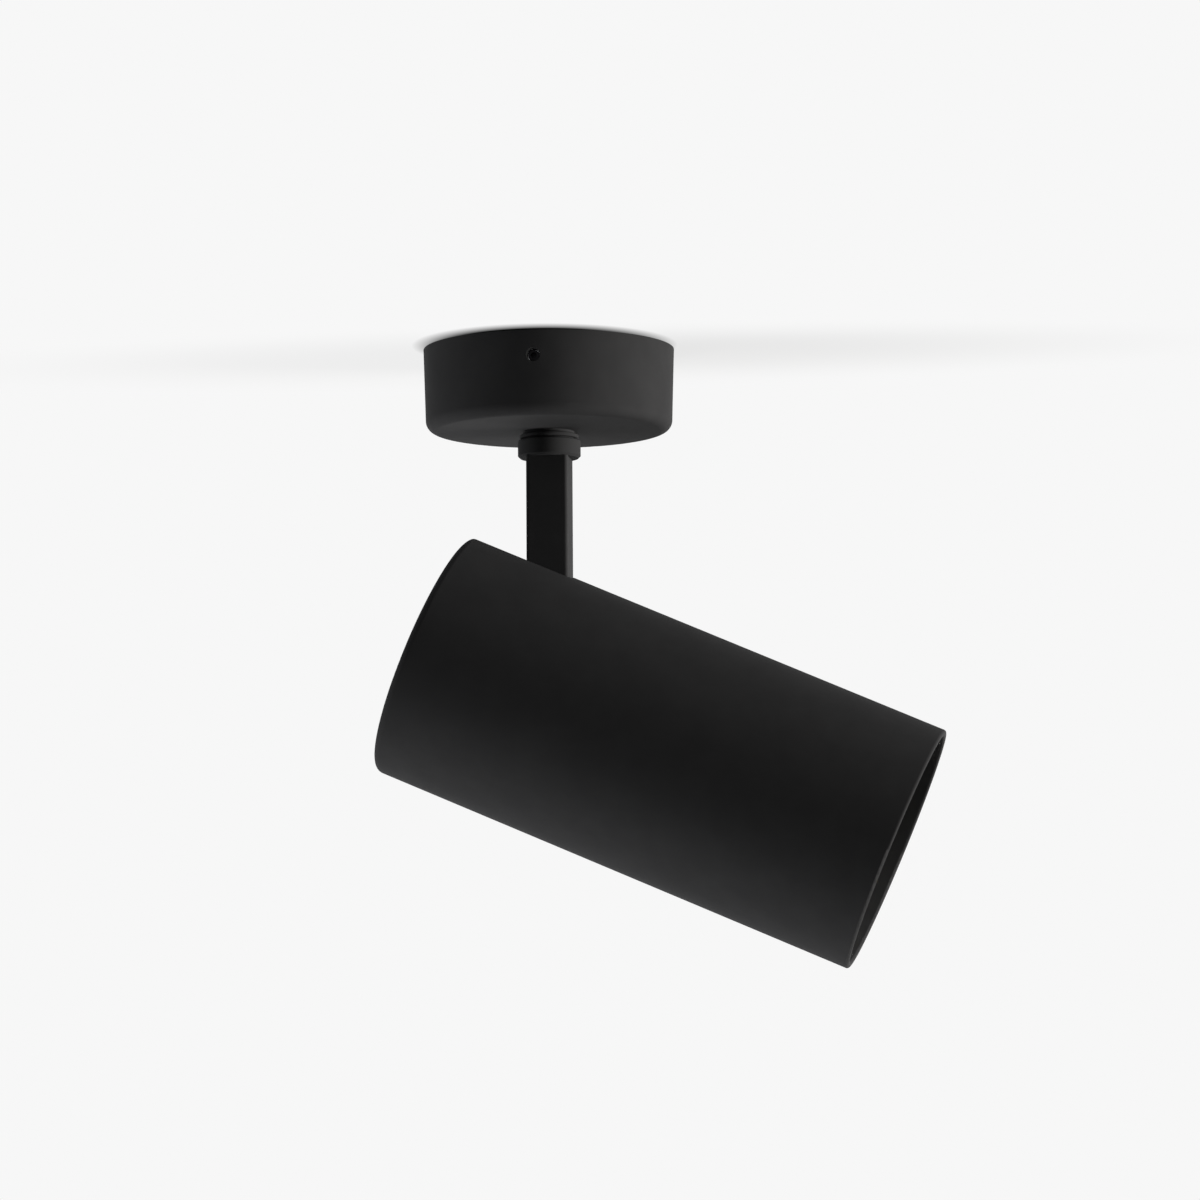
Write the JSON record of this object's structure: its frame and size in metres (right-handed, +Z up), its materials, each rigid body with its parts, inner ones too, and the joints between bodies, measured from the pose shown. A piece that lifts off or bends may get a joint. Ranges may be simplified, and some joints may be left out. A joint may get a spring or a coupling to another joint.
{
  "type": "surface mounted ceiling spotlight",
  "caption": "Ceiling spotlight: a cylindrical head with a bayonet lamp tilts on a bar arm that passes through a slot in its shell, and the arm's collar swivels under a round rose.",
  "frame": {"origin": "centre of the ceiling face of the bracket, midway between the two ceiling screw slots", "axes": "+Z up into the ceiling along the swivel axis, +X the side that the head points to, +Y along the tilt axis"},
  "size_m": [0.1574, 0.0704, 0.1729],
  "materials": {
    "black_paint": "fine matte black powder coat",
    "plated_steel": "bright zinc plate",
    "black_oxide": "black oxide, dull",
    "brass": "plain brass",
    "ivory_plastic": "moulded, satin",
    "fibre": "pressed fibre, dull",
    "white_sheath": "silicone sheath, dull",
    "brown_insulation": "silicone insulation, dull",
    "earth_insulation": "silicone insulation, dull",
    "white_ceramic": "unglazed steatite",
    "grey_housing": "moulded, satin",
    "clear_lens": "clear pressed lens"
  },
  "bodies": {
    "rose": {"ceiling_bracket": "plated_steel", "rose_cover": "black_paint", "rose_set_screws": "black_oxide", "terminal_block": "ivory_plastic", "terminal_clamps": "brass", "terminal_screws": "plated_steel", "block_screws": "plated_steel", "earth_screw": "brass", "earth_lug": "plated_steel", "earth_lead": "earth_insulation", "rose_leads": "brown_insulation", "pan_bush": "black_paint", "friction_washer": "fibre", "stop_pin": "plated_steel"},
    "swivel": {"swivel_collar": "black_paint", "hollow_nipple": "plated_steel", "stop_washer": "plated_steel", "spring_washer": "plated_steel", "swivel_nut": "plated_steel", "arm_bar": "black_paint", "arm_sleeve": "plated_steel", "arm_cable": "white_sheath"},
    "head": {"head_tube": "black_paint", "hinge_yoke": "plated_steel", "yoke_screws": "black_oxide", "tilt_bolt": "plated_steel", "tilt_nut": "plated_steel", "tilt_washers": "plated_steel", "friction_discs": "fibre", "tilt_leads": "brown_insulation", "lampholder": "white_ceramic", "lampholder_contacts": "brass", "lampholder_screws": "plated_steel", "glare_ring": "black_paint"},
    "lamp": {"lamp_body": "grey_housing", "lamp_pins": "brass", "lamp_lens": "clear_lens"}
  },
  "joints": [
    {"name": "pan", "type": "hinge", "parent": "rose", "child": "swivel", "pos_m": [0, 0, -0.0255], "axis": [0, 0, 1], "range_deg": [-165, 165]},
    {"name": "tilt", "type": "hinge", "parent": "swivel", "child": "head", "pos_m": [0, 0, -0.0996], "axis": [0, 1, 0], "range_deg": [0, 66.7], "deforming": ["tilt_leads"]},
    {"name": "lamp_twist", "type": "hinge", "parent": "head", "child": "lamp", "pos_m": [0, 0, -0.0996], "axis": [0.9184, 0, -0.3955], "range_deg": [0, 20]}
  ]
}
